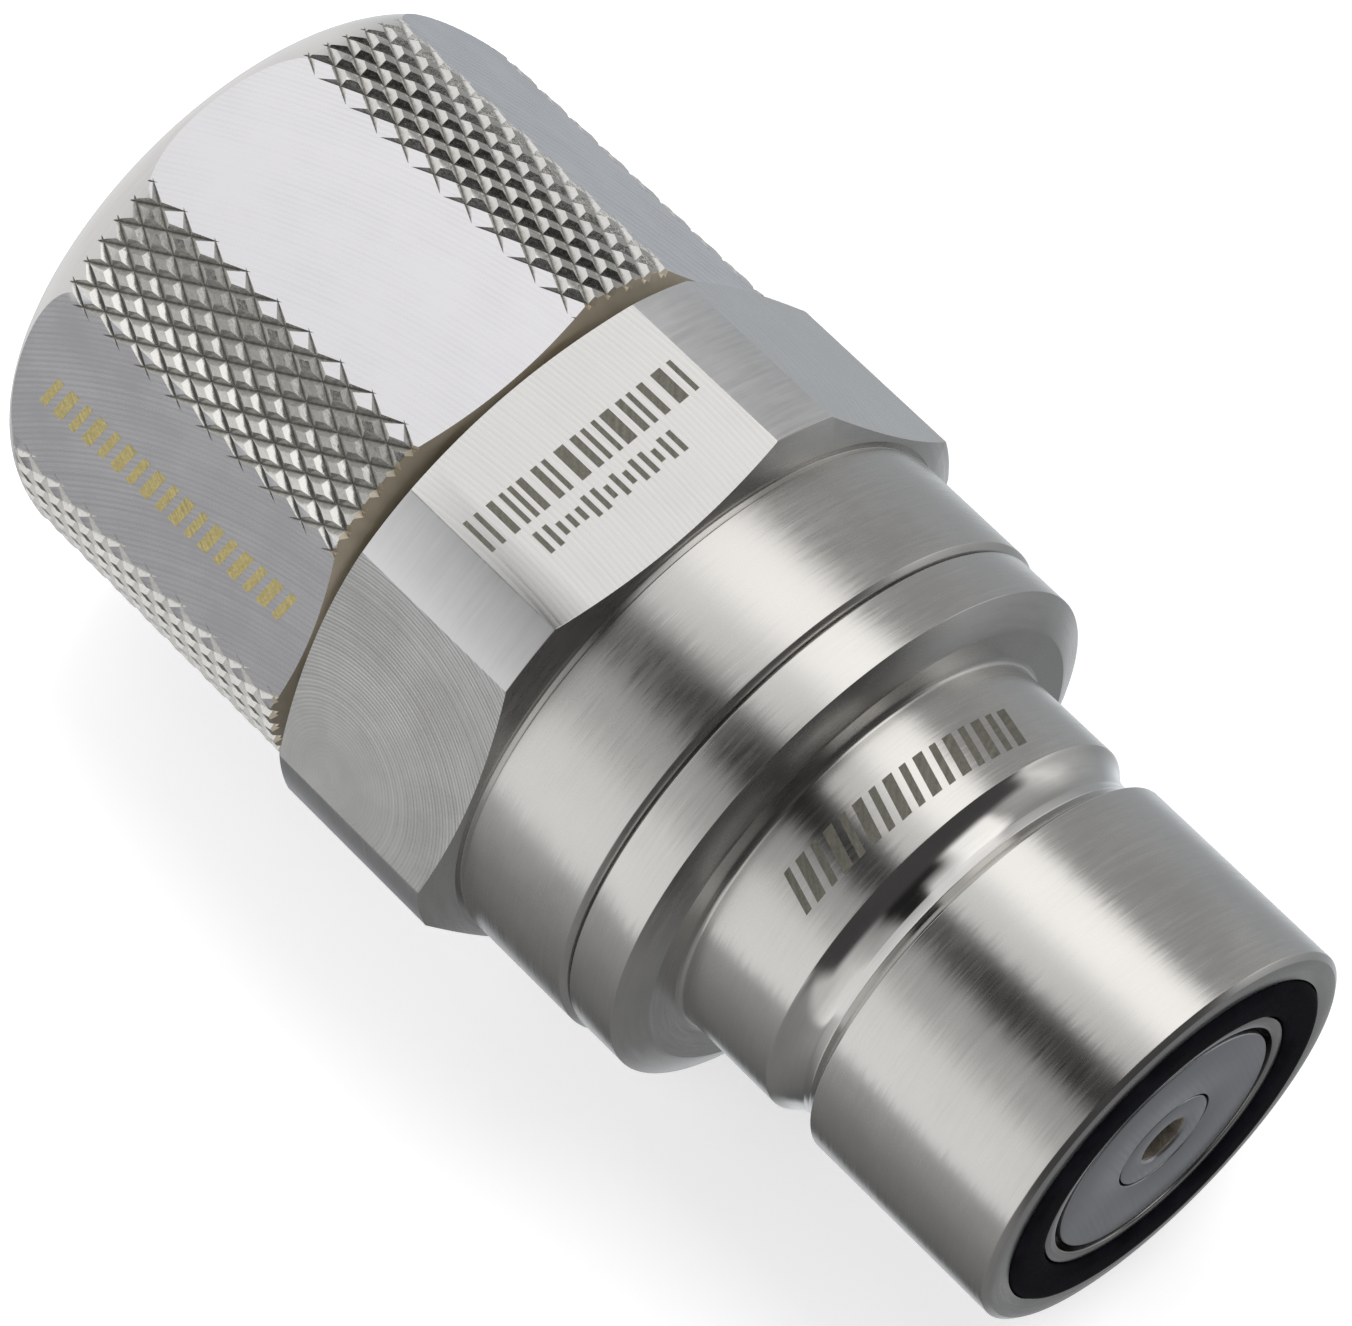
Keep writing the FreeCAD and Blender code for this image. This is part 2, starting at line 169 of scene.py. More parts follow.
def arc(start, middle, end, steps):
    """Points of the circular arc through three outline points, both ends included."""
    ax, ay = start
    bx, by = middle
    cx, cy = end
    aa, bb, cc = ax**2 + ay**2, bx**2 + by**2, cx**2 + cy**2
    twice = 2 * (ax * (by - cy) + bx * (cy - ay) + cx * (ay - by))
    centre_x = (aa * (by - cy) + bb * (cy - ay) + cc * (ay - by)) / twice
    centre_y = (aa * (cx - bx) + bb * (ax - cx) + cc * (bx - ax)) / twice
    radius = math.hypot(ax - centre_x, ay - centre_y)
    first, through, last = [math.atan2(y - centre_y, x - centre_x) for x, y in (start, middle, end)]
    through = within_half_turn(through, first)
    last = within_half_turn(last, through)
    points = []
    for step in range(steps + 1):
        angle = first + (last - first) * step / steps
        points.append((centre_x + radius * math.cos(angle), centre_y + radius * math.sin(angle), 0))
    return points


def ring_of(bm, station, radius, count, start=0.0):
    """Corners of a regular polygon about the axis."""
    angles = [start + 2 * math.pi * k / count for k in range(count)]
    return [bm.verts.new(place(station, radius * math.cos(a), radius * math.sin(a))) for a in angles]


def bridge(bm, ring, other):
    """Four-sided faces between two rings of the same count."""
    for k in range(len(ring)):
        j = (k + 1) % len(ring)
        bm.faces.new((ring[k], ring[j], other[j], other[k]))


def lathe_mesh(outline, segments=ROUND):
    """A closed surface turned from a closed outline."""
    bm = bmesh.new()
    rings = []
    for station, radius in outline:
        if radius < 1e-6:
            rings.append([bm.verts.new(place(station, 0, 0))])
        else:
            rings.append(ring_of(bm, station, radius, segments))
    for i, ring in enumerate(rings):
        other = rings[(i + 1) % len(rings)]
        if len(ring) == 1 and len(other) == 1:
            continue
        if len(ring) == len(other):
            bridge(bm, ring, other)
            continue
        for k in range(segments):
            j = (k + 1) % segments
            if len(ring) == 1:
                bm.faces.new((ring[0], other[k], other[j]))
            else:
                bm.faces.new((ring[k], ring[j], other[0]))
    return bm


def lathe(name, outline, segments=ROUND):
    """An object turned from an outline whose corners are eased first."""
    return finish_mesh(name, lathe_mesh(eased(outline), segments))


def hexagon_cutter(name, rear, front, width, outer):
    """Six joined slabs round a hexagonal hole: what a mill takes off a round bar."""
    bm = bmesh.new()
    inside = width / math.sqrt(3)
    outside = outer * 2 / math.sqrt(3)
    section = ((rear, inside), (rear, outside), (front, outside), (front, inside))
    rings = [ring_of(bm, station, corner, 6) for station, corner in section]
    for i, ring in enumerate(rings):
        bridge(bm, ring, rings[(i + 1) % len(rings)])
    return finish_mesh(name, bm)


def cut(obj, tool, operation="DIFFERENCE"):
    """An exact boolean, applied to the mesh. The tool is deleted."""
    modifier = obj.modifiers.new("cut", "BOOLEAN")
    modifier.operation = operation
    modifier.solver = "EXACT"
    modifier.object = tool
    bake_modifiers(obj)
    bpy.data.objects.remove(tool)


def bake_modifiers(obj):
    """Applies every modifier to the mesh."""
    bpy.context.view_layer.update()
    graph = bpy.context.evaluated_depsgraph_get()
    mesh = bpy.data.meshes.new_from_object(obj.evaluated_get(graph))
    obj.modifiers.clear()
    obj.data = mesh


def whereabouts(face):
    """A face's station and its distance from the axis, in mm."""
    station = face.center.x / MM - SEAM_X
    return station, math.hypot(face.center.y / MM, face.center.z / MM - AXIS_Z)


def near_flat(face, apothem):
    """True for a face that lies on one of six flats at this distance from the axis."""
    for side in range(6):
        angle = math.radians(30 + 60 * side)
        out = Vector((0, math.cos(angle), math.sin(angle)))
        height = face.center.y / MM * out.y + (face.center.z / MM - AXIS_Z) * out.z
        if face.normal.dot(out) > 0.999 and abs(height - apothem) < 0.03:
            return True
    return False


# ---------------------------------------------------------------------------
# Material helpers
# ---------------------------------------------------------------------------
class Graph:
    """Short calls for building a material's nodes. Sockets and numbers mix freely."""

    def __init__(self, owner):
        self.owner = owner
        owner.use_nodes = True
        self.tree = owner.node_tree
        self.tree.nodes.clear()

    def node(self, kind, settings=None, **inputs):
        made = self.tree.nodes.new(kind)
        for key, value in (settings or {}).items():
            setattr(made, key, value)
        for key, value in inputs.items():
            socket = made.inputs[int(key[1:])] if key[0] == "_" else made.inputs[key.replace("_", " ")]
            self.feed(socket, value)
        return made

    def feed(self, socket, value):
        if isinstance(value, bpy.types.NodeSocket):
            self.tree.links.new(value, socket)
        else:
            socket.default_value = value

    def math(self, operation, a, b=0.0, c=0.0):
        return self.node("ShaderNodeMath", {"operation": operation}, _0=a, _1=b, _2=c).outputs[0]

    def add(self, a, b):
        return self.math("ADD", a, b)

    def times(self, a, b):
        return self.math("MULTIPLY", a, b)

    def vector(self, operation, a, b=(0, 0, 0)):
        made = self.node("ShaderNodeVectorMath", {"operation": operation}, _0=a)
        if operation == "SCALE":
            self.feed(made.inputs["Scale"], b)
        elif operation not in ("NORMALIZE", "LENGTH"):
            self.feed(made.inputs[1], b)
        return made.outputs["Value" if operation in ("LENGTH", "DOT_PRODUCT") else "Vector"]

    def spread(self, value, low, high, to_low, to_high):
        """Maps a value from one range to another, clamped."""
        return self.node(
            "ShaderNodeMapRange", {"clamp": True}, Value=value,
            From_Min=low, From_Max=high, To_Min=to_low, To_Max=to_high,
        ).outputs[0]

    def mix(self, factor, a, b):
        made = self.node("ShaderNodeMix", {"data_type": "RGBA"}, _0=factor)
        self.feed(made.inputs[6], a)
        self.feed(made.inputs[7], b)
        return made.outputs[2]

    def noise(self, vector, scale, detail=3.0, roughness=0.55):
        return self.node(
            "ShaderNodeTexNoise", None, Vector=vector, Scale=scale, Detail=detail, Roughness=roughness
        ).outputs[0]

    def line_noise(self, along, scale, detail=3.0):
        return self.node(
            "ShaderNodeTexNoise", {"noise_dimensions": "1D"}, W=along, Scale=scale, Detail=detail
        ).outputs[0]

    def bump(self, height, strength, distance_mm, normal=None):
        made = self.node(
            "ShaderNodeBump", None, Strength=strength, Distance=distance_mm * MM, Height=height
        )
        if normal is not None:
            self.feed(made.inputs["Normal"], normal)
        return made.outputs[0]

    def shader(self, constants, **links):
        """The surface. Constants stay on the shader's own sockets."""
        made = self.node("ShaderNodeBsdfPrincipled", None, **links)
        for key, value in constants.items():
            made.inputs[key].default_value = value
        out = self.node("ShaderNodeOutputMaterial")
        self.tree.links.new(made.outputs[0], out.inputs["Surface"])
        return self.owner


def tinted(colour, factor):
    """The colour made lighter or darker, with its fourth value."""
    return (colour[0] * factor, colour[1] * factor, colour[2] * factor, 1)


def object_mm(graph):
    """Position about the axis in millimetres, and its distance from the axis."""
    coords = graph.node("ShaderNodeTexCoord").outputs["Object"]
    shifted = graph.vector("SUBTRACT", coords, (SEAM_X * MM, 0, AXIS_Z * MM))
    point = graph.vector("SCALE", shifted, 1 / MM)
    split = graph.node("ShaderNodeSeparateXYZ", None, Vector=point).outputs
    flat = graph.node("ShaderNodeCombineXYZ", None, X=0.0, Y=split[1], Z=split[2]).outputs[0]
    return point, split, graph.vector("LENGTH", flat)


def around_axis(graph, split):
    """Unit tangent that runs round the axis."""
    minus_z = graph.times(split[2], -1.0)
    ring = graph.node("ShaderNodeCombineXYZ", None, X=0.0, Y=minus_z, Z=split[1]).outputs[0]
    return graph.vector("NORMALIZE", ring)


def turned_metal(name, colour, roughness=0.27, grain=9.0, waver=0.10, anisotropy=0.55, marks=0.35):
    """Metal off a lathe: fine rings round the axis that smear light along it."""
    g = Graph(bpy.data.materials.new(name))
    point, split, radius = object_mm(g)
    along = g.add(split[0], radius)
    stretched = g.node(
        "ShaderNodeCombineXYZ", None,
        X=g.times(along, grain),
        Y=g.times(split[1], 0.45),
        Z=g.times(split[2], 0.45),
    ).outputs[0]
    streak = g.noise(stretched, 1.0, 4.0, 0.65)
    rings = g.line_noise(along, grain * 0.8, 4.0)
    cloud = g.noise(point, 0.55, 3.0)
    speck = g.noise(point, 9.0, 2.0)
    tangent = around_axis(g, split)
    tilt = g.vector("SCALE", tangent, g.times(g.math("SUBTRACT", streak, 0.5), waver))
    geometry = g.node("ShaderNodeNewGeometry").outputs["Normal"]
    normal = g.vector("NORMALIZE", g.vector("ADD", geometry, tilt))
    relief = g.add(g.times(rings, 0.8), g.times(speck, 0.2))
    normal = g.bump(relief, marks, 0.004, normal)
    tone = g.add(g.times(streak, 0.6), g.times(cloud, 0.4))
    base = g.mix(g.spread(tone, 0.3, 0.7, 0.0, 1.0), tinted(colour, 0.90), tinted(colour, 1.05))
    dullness = g.add(streak, g.times(cloud, 0.5))
    rough = g.spread(dullness, 0.45, 1.05, roughness * 0.8, roughness * 1.3)
    return g.shader(
        {"Metallic": 1.0, "Anisotropic": anisotropy, "Anisotropic Rotation": 0.25},
        Base_Color=base, Roughness=rough, Normal=normal, Tangent=tangent,
    )


def milled_metal(name, colour, roughness=0.3, swirl=0.5, centre=(-8, -30, -6), pitch=0.16, contrast=0.05):
    """A milled flat: arcs that a face cutter left about a centre, over a fine mottled satin."""
    g = Graph(bpy.data.materials.new(name))
    point, _, _ = object_mm(g)
    cloud = g.noise(point, 0.5, 3.0)
    grit = g.noise(point, 11.0, 3.0)
    reach = g.vector("LENGTH", g.vector("SUBTRACT", point, centre))
    drifting = g.add(reach, g.times(cloud, 0.06))
    wave = g.math("SINE", g.times(drifting, 2 * math.pi / pitch))
    uneven = g.line_noise(reach, 5.0, 3.0)
    marks = g.add(g.times(g.times(wave, 0.35), cloud), g.times(uneven, 0.55))
    # near the centre the arcs crowd together, so there they fade into one even tone
    marks = g.times(marks, g.spread(reach, 1.0, 4.5, 0.2, 1.0))
    marks = g.add(marks, g.spread(reach, 1.0, 4.5, 0.4, 0.15))
    tone = g.add(g.times(marks, 0.6), g.times(cloud, 0.4))
    lightness = g.spread(tone, 0.3, 0.7, 0.0, 1.0)
    base = g.mix(lightness, tinted(colour, 1 - contrast), tinted(colour, 1 + contrast))
    normal = g.bump(g.add(marks, g.times(grit, 0.35)), swirl, 0.006)
    rough = g.spread(g.add(marks, cloud), 0.7, 1.3, roughness * 0.85, roughness * 1.25)
    return g.shader({"Metallic": 1.0}, Base_Color=base, Roughness=rough, Normal=normal)


def knurl_metal(name, colour, roughness=0.13):
    """Knurl teeth: bright facets, with painted shade down in the valleys, which are also rougher."""
    g = Graph(bpy.data.materials.new(name))
    point, _, radius = object_mm(g)
    grit = g.noise(point, 8.0, 4.0, 0.7)
    cloud = g.noise(point, 0.7, 2.0)
    depth = g.add(radius, g.times(g.math("SUBTRACT", grit, 0.5), 0.12))
    valley = g.spread(depth, KNURL_VALLEY, KNURL_VALLEY + 0.07, 1.0, 0.0)
    tone = g.add(g.times(grit, 0.6), g.times(cloud, 0.4))
    metal = g.mix(g.spread(tone, 0.35, 0.65, 0.0, 1.0), tinted(colour, 0.86), tinted(colour, 1.06))
    # painted shade: the valleys' colour is darkened to stand in for the shade between the teeth
    base = g.mix(valley, metal, (0.30, 0.30, 0.285, 1))
    rough = g.spread(g.add(grit, g.times(valley, 0.5)), 0.35, 1.1, roughness, 0.45)
    normal = g.bump(grit, 0.3, 0.02)
    return g.shader({"Metallic": 1.0}, Base_Color=base, Roughness=rough, Normal=normal)


def rubber(name, colour, roughness=0.42):
    """Matt rubber with faint flow lines round the axis."""
    g = Graph(bpy.data.materials.new(name))
    point, split, radius = object_mm(g)
    grain = g.noise(point, 12.0, 4.0)
    cloud = g.noise(point, 0.9, 3.0)
    flow = g.line_noise(g.add(radius, split[0]), 5.0, 2.0)
    base = g.mix(g.spread(cloud, 0.35, 0.65, 0.0, 1.0), tinted(colour, 0.75), tinted(colour, 1.5))
    rough = g.spread(g.add(grain, cloud), 0.7, 1.3, roughness * 0.85, roughness * 1.3)
    normal = g.bump(g.add(grain, g.times(flow, 0.5)), 0.15, 0.012)
    return g.shader(
        {"Metallic": 0.0, "Specular IOR Level": 0.02}, Base_Color=base, Roughness=rough, Normal=normal
    )


def plastic(name, colour, roughness=0.45):
    """Plain moulded plastic, faintly uneven."""
    g = Graph(bpy.data.materials.new(name))
    point, _, _ = object_mm(g)
    cloud = g.noise(point, 0.8, 3.0)
    grain = g.noise(point, 10.0, 3.0)
    base = g.mix(g.spread(cloud, 0.35, 0.65, 0.0, 1.0), tinted(colour, 0.93), tinted(colour, 1.04))
    rough = g.spread(grain, 0.3, 0.7, roughness * 0.85, roughness * 1.2)
    return g.shader(
        {"Metallic": 0.0}, Base_Color=base, Roughness=rough, Normal=g.bump(grain, 0.12, 0.01)
    )


def etched(name, colour, roughness=0.55, metallic=0.6):
    """Laser-etched mark: dull and grainy, a little uneven."""
    g = Graph(bpy.data.materials.new(name))
    point, _, _ = object_mm(g)
    grit = g.noise(point, 9.0, 4.0, 0.75)
    hatch = g.line_noise(g.vector("DOT_PRODUCT", point, (0.6, 0.6, 0.6)), 9.0, 2.0)
    tone = g.add(g.times(grit, 0.7), g.times(hatch, 0.3))
    base = g.mix(g.spread(tone, 0.35, 0.65, 0.0, 1.0), tinted(colour, 0.7), tinted(colour, 1.3))
    rough = g.spread(grit, 0.3, 0.7, roughness * 0.85, roughness * 1.2)
    return g.shader(
        {"Metallic": metallic}, Base_Color=base, Roughness=rough, Normal=g.bump(grit, 0.4, 0.01)
    )


STEEL = (0.56, 0.55, 0.53)
turned = turned_metal("turned_steel", STEEL, waver=0.08)
nose_steel = turned_metal("nose_steel", STEEL, roughness=0.24, waver=0.07)
groove_steel = turned_metal("groove_steel", STEEL, roughness=0.12, waver=0.03, anisotropy=0.3, marks=0.12)
rounding_steel = turned_metal("rounding_steel", STEEL, roughness=0.22, waver=0.05)
hex_flat = milled_metal("hex_flat_steel", (0.55, 0.545, 0.535), roughness=0.30, swirl=0.4)
hex_arcs = milled_metal(
    "hex_arcs_steel", (0.57, 0.565, 0.555), roughness=0.30, swirl=0.9,
    centre=(-9.6, -10.6, 2.0), pitch=0.13, contrast=0.10,
)
bar_steel = turned_metal("bar_steel", (0.72, 0.72, 0.72), roughness=0.36, waver=0.02, marks=0.12)
cone_steel = turned_metal("cone_steel", (0.56, 0.50, 0.40), roughness=0.45, waver=0.06, anisotropy=0.3)
nut_flat = milled_metal("nut_flat_steel", (0.555, 0.55, 0.565), roughness=0.26, swirl=0.015, contrast=0.01)
knurl_steel = knurl_metal("knurl_steel", (0.62, 0.61, 0.58))
disc_steel = milled_metal("disc_steel", (0.48, 0.49, 0.51), roughness=0.36, swirl=0.25)
lip_steel = turned_metal("lip_steel", (0.38, 0.37, 0.36), roughness=0.2)
screw_steel = milled_metal("screw_steel", (0.46, 0.47, 0.49), roughness=0.34, swirl=0.3)
inner_steel = turned_metal("inner_steel", (0.52, 0.52, 0.52), roughness=0.3)
wire_steel = turned_metal("wire_steel", (0.50, 0.50, 0.50), roughness=0.25, anisotropy=0.2)
seal_black = rubber("seal_black", (0.0055, 0.0055, 0.0080), roughness=0.6)
acetal = plastic("natural_acetal", (0.78, 0.76, 0.70))
ptfe = plastic("filled_ptfe", (0.80, 0.79, 0.75))
dark_etch = etched("dark_etch", (0.15, 0.145, 0.12))
socket_grime = etched("socket_grime", (0.24, 0.21, 0.175), roughness=0.5, metallic=0.5)
gold_etch = etched("gold_etch", (0.52, 0.44, 0.20), roughness=0.42, metallic=0.8)


def dress(obj, body, slot, *materials):
    """Materials and rigid body for a finished piece. The slot argument is not used."""
    for material in materials:
        obj.data.materials.append(material)
    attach(obj, body)
    return obj


# ---------------------------------------------------------------------------
# Hex adapter
# ---------------------------------------------------------------------------
def make_adapter():
    """Hex milled on a round bar, with a barrel in front and a threaded stub behind."""
    spigot_bore, spigot = 4.0, 5.0
    pocket = -14.5
    relief = BARREL_RADIUS - 0.13
    outline = [
        # hose spigot and the threaded stub round it
        (-24.4, spigot_bore, 0.15), (-24.4, spigot - 0.35, 0.1), (-23.8, spigot, 0.2),
        (pocket, spigot, 0.2), (pocket, 6.7, 0.1), (STUB_REAR, 6.7, 0.1),
        (STUB_REAR, STUB_RADIUS, 0.15), (HEX_REAR, STUB_RADIUS, 0.1),
        # round bar for the hex, chamfered at both ends
        (HEX_REAR, 9.7, 0.04), (HEX_REAR + 0.5, HEX_BAR_RADIUS, 0.04),
        (HEX_FRONT - 0.45, HEX_BAR_RADIUS, 0.04), (HEX_FRONT, BARREL_RADIUS + 0.1, 0.03),
        # relief at the barrel's root, and the barrel
        (HEX_FRONT, relief, 0.03), (HEX_FRONT + 0.2, relief, 0.03),
        (HEX_FRONT + 0.25, BARREL_RADIUS, 0.03), (-0.15, BARREL_RADIUS, 0.05),
        (0, BARREL_RADIUS - 0.2, 0.03), (0, PILOT_RADIUS, 0.03),
        # bore for the nose body, and the waterway
        (-2.0, PILOT_RADIUS, 0), (-2.2, PILOT_RADIUS - 0.2, 0), (-6.3, PILOT_RADIUS - 0.2, 0),
        (-6.3, WATERWAY_RADIUS, 0), (-9.0, spigot_bore, 0),
    ]
    obj = lathe("adapter_body", outline)
    cut(obj, hexagon_cutter("hex_mill", HEX_REAR - 0.5, HEX_FRONT - 0.02, HEX_WIDTH, 12.5))
    shade(obj)
    dress(obj, "fitting", "turned_metal", turned, hex_flat, inner_steel, hex_arcs, bar_steel)
    for face in obj.data.polygons:
        _, radius = whereabouts(face)
        if near_flat(face, HEX_WIDTH / 2):
            face.material_index = 1 if abs(face.normal.z) > 0.9 else 3
        elif radius < PILOT_RADIUS + 0.1:
            face.material_index = 2
        elif radius > HEX_BAR_RADIUS - 0.02 and abs(face.normal.x) < 0.1:
            face.material_index = 4
    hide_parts("hex_adapter")
    return obj


def make_thread(name, body, slot, rear, front, sleeve, core, crest):
    """A sleeve with one right-hand helical ridge. The ridge faces inward if crest < core."""
    segments, rows_per_turn = 96, 12
    root_half, flank = 0.35 * THREAD_PITCH, 0.2875 * THREAD_PITCH
    bm = bmesh.new()
    rows = int((front - rear) / THREAD_PITCH * rows_per_turn)
    rings = []
    for row in range(rows + 1):
        station = rear + (front - rear) * row / rows
        fade = min(1.0, row / rows_per_turn, (rows - row) / rows_per_turn)
        ring = []
        for k in range(segments):
            angle = 2 * math.pi * k / segments
            turn = (station - rear) / THREAD_PITCH - k / segments
            away = abs((turn - math.floor(turn)) - 0.5) * THREAD_PITCH
            rise = max(0.0, min(1.0, (root_half - away) / flank))
            radius = core + (crest - core) * rise * fade
            ring.append(bm.verts.new(place(station, radius * math.cos(angle), radius * math.sin(angle))))
        rings.append(ring)
    for station in (front, rear):
        rings.append(ring_of(bm, station, sleeve, segments))
    for i, ring in enumerate(rings):
        bridge(bm, ring, rings[(i + 1) % len(rings)])
    return dress(finish_mesh(name, bm, math.radians(30)), body, slot, inner_steel)


# ---------------------------------------------------------------------------
# Compression nut
# ---------------------------------------------------------------------------
def knurled_bar():
    """A solid bar of pointed diamonds. Tips and valley corners alternate on a half-step grid."""
    bm = bmesh.new()
    around = KNURL_COUNT * 2
    step = KNURL_LENGTH / 2
    rows = int((NUT_FRONT + 1.2 - KNURL_START) / step)
    grid = []
    for row in range(rows + 1):
        ring = []
        for k in range(around):
            angle = 2 * math.pi * (k + KNURL_PHASE) / around
            radius = KNURL_TIP if (row + k) % 2 == 0 else KNURL_VALLEY
            across, height = radius * math.cos(angle), radius * math.sin(angle)
            ring.append(bm.verts.new(place(KNURL_START + row * step, across, height)))
        grid.append(ring)
    for row in range(rows):
        for k in range(around):
            j = (k + 1) % around
            a, b, c, d = grid[row][k], grid[row][j], grid[row + 1][j], grid[row + 1][k]
            if (row + k) % 2 == 0:
                bm.faces.new((a, b, d))
                bm.faces.new((b, c, d))
            else:
                bm.faces.new((a, b, c))
                bm.faces.new((a, c, d))
    for row in (0, rows):
        pole = bm.verts.new(place(KNURL_START + row * step, 0, 0))
        for k in range(around):
            bm.faces.new((grid[row][k], grid[row][(k + 1) % around], pole))
    return finish_mesh("knurled_bar", bm)


def is_tooth(normal, outward):
    """A tooth's facet leans sideways, round the axis, as well as along it."""
    side = Vector((1, 0, 0)).cross(outward)
    return abs(normal.dot(side)) > 0.15


def make_nut():
    """Knurled bar with a rounded rear edge, then six flats milled through the knurl."""
    rounded_to = NUT_REAR + 2.4
    rounding = arc((NUT_REAR, 8.4), (NUT_REAR + 0.75, 9.62), (rounded_to, NUT_RADIUS), 14)
    outline = (
        [(NUT_REAR, MOUTH_RADIUS + 0.35, 0.08)]
        + rounding
        + [
            (NUT_FRONT - 0.5, NUT_RADIUS, 0.04), (NUT_FRONT, 9.4, 0.04),
            # thread bore with a relief in front, then the clamp ring's cone and the hose's mouth
            (NUT_FRONT, NUT_BORE + 0.15, 0.04), (-12.9, NUT_BORE + 0.15, 0), (-12.9, NUT_BORE, 0),
            (-19.1, NUT_BORE, 0), (-19.1, NUT_BORE - 0.3, 0), (-24.6, MOUTH_RADIUS + 0.4, 0),
            (-24.6, MOUTH_RADIUS, 0.05), (NUT_REAR + 0.35, MOUTH_RADIUS, 0.05),
        ]
    )
    obj = lathe("nut_shell", outline)
    cut(obj, knurled_bar(), "INTERSECT")
    cut(obj, hexagon_cutter("nut_mill", NUT_REAR - 1, NUT_FRONT + 1, NUT_FLAT * 2, 13))
    shade(obj)
    dress(obj, "nut", "nut_metal", rounding_steel, nut_flat, knurl_steel, inner_steel, cone_steel)
    for face in obj.data.polygons:
        station, radius = whereabouts(face)
        outward = Vector((0, face.center.y, face.center.z - AXIS_Z * MM)).normalized()
        slope = abs(face.normal.x)
        leans = face.normal.dot(outward) < 0.97 and slope > 0.1
        if near_flat(face, NUT_FLAT):
            face.material_index = 1
        elif radius < NUT_BORE + 0.3:
            face.material_index = 3
        elif station > NUT_FRONT - 0.55 and radius > 9.3 and 0.3 < slope < 0.97:
            face.material_index = 4
        elif radius > 9.7 and leans and is_tooth(face.normal, outward):
            face.material_index = 2
        elif radius > NUT_RADIUS - 0.1 and rounded_to - 0.2 < station < NUT_FRONT - 0.4:
            face.material_index = 2
    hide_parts("compression_nut")
    return obj


# ---------------------------------------------------------------------------
# Nose body and face
# ---------------------------------------------------------------------------
def make_nose():
    """Flange, neck, ball-lock groove and plain nose, with a threaded tail inside the adapter."""
    pilot = PILOT_RADIUS - 0.05
    guide_bore = 6.6
    groove_floor = 6.735
    groove = (
        [(GROOVE_REAR, NOSE_RADIUS, 0.04)]
        + arc((6.27, 7.19), (6.61, 6.92), (7.22, groove_floor), 14)
        + [
            (7.30, groove_floor + 0.003, 0.3), (7.64, 6.82, 0.3), (7.88, 6.99, 0.2),
            (8.04, 7.17, 0.03), (GROOVE_FRONT, NOSE_RADIUS, 0.04),
        ]
    )
    root = arc(
        (FLANGE_FACE + 0.02, NOSE_RADIUS + 0.14), (FLANGE_FACE + 0.06, NOSE_RADIUS + 0.05),
        (FLANGE_FACE + 0.18, NOSE_RADIUS), 5,
    )
    outline = (
        [
            # threaded tail with the joint seal's groove
            (-5.9, guide_bore, 0), (-5.9, 8.0, 0), (-5.6, 8.25, 0), (-2.3, 8.25, 0),
            (-2.0, pilot, 0), (-1.6, pilot, 0), (-1.6, 7.5, 0), (-0.4, 7.5, 0), (-0.4, pilot, 0),
            (0, pilot, 0),
            # flange
            (0, FLANGE_RADIUS - 0.18, 0.03), (0.15, FLANGE_RADIUS, 0.05), (1.95, FLANGE_RADIUS, 0.03),
            (FLANGE_FACE - 0.05, FLANGE_RADIUS - 0.95, 0.05), (FLANGE_FACE, FLANGE_RADIUS - 1.1, 0.03),
            (FLANGE_FACE, NOSE_RADIUS + 0.2, 0.05),
        ]
        + root
        + groove
        + [
            # rim, and the rubber ring's seat inside it
            (FACE - 0.17, NOSE_RADIUS, 0.05), (FACE - 0.02, NOSE_RADIUS - 0.2, 0.05),
            (FACE, NOSE_RADIUS - 0.38, 0.03), (FACE, SEAL_RADIUS + 0.02, 0.05),
            (FACE - 0.4, SEAL_RADIUS, 0), (FACE - 0.6, SEAL_RADIUS + 0.2, 0),
            (SEAT, SEAL_RADIUS + 0.2, 0), (SEAT, LIP_RADIUS + 0.06, 0.05),
            (SEAT - 0.8, LIP_RADIUS + 0.06, 0.05), (SEAT - 0.8, WATERWAY_RADIUS, 0.1),
            # waterway, guide bore and the retaining ring's groove
            (2.0, WATERWAY_RADIUS, 0), (2.0, guide_bore, 0), (0.8, guide_bore, 0),
            (0.8, 7.0, 0), (0, 7.0, 0), (0, guide_bore, 0),
        ]
    )
    obj = lathe("nose_shell", outline)
    dress(obj, "fitting", "nose_metal", nose_steel, groove_steel, inner_steel)
    for face in obj.data.polygons:
        station, radius = whereabouts(face)
        if GROOVE_REAR + 0.02 < station < GROOVE_FRONT - 0.02 and radius > groove_floor - 0.2:
            face.material_index = 1
        elif radius < SEAL_RADIUS - 0.05 or (station < 0 and radius < 9):
            face.material_index = 2
    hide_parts("nose_body")
    return obj


def make_face_seal():
    """Rubber ring whose flat-topped crown bulges past the rim."""
    clearance = 0.01
    middle = (SEAL_RADIUS + SEAL_BORE) / 2
    half = middle - SEAL_BORE - clearance
    foot, steps = FACE - 0.05, 24
    crown = []
    for step in range(steps + 1):
        across = math.cos(math.pi * step / steps)
        rise = math.sqrt(1 - across**4)
        crown.append((foot + (TIP - FACE + 0.05) * rise, middle + half * across, 0))
    outline = (
        [
            (SEAT, SEAL_RADIUS + 0.18, 0), (FACE - 0.6, SEAL_RADIUS + 0.18, 0),
            (FACE - 0.4, SEAL_RADIUS - clearance, 0),
        ]
        + crown
        + [(SEAT, SEAL_BORE + clearance, 0)]
    )
    obj = lathe("face_seal_ring", outline)
    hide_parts("nose_face_seal")
    return dress(obj, "fitting", "seal_rubber", seal_black)


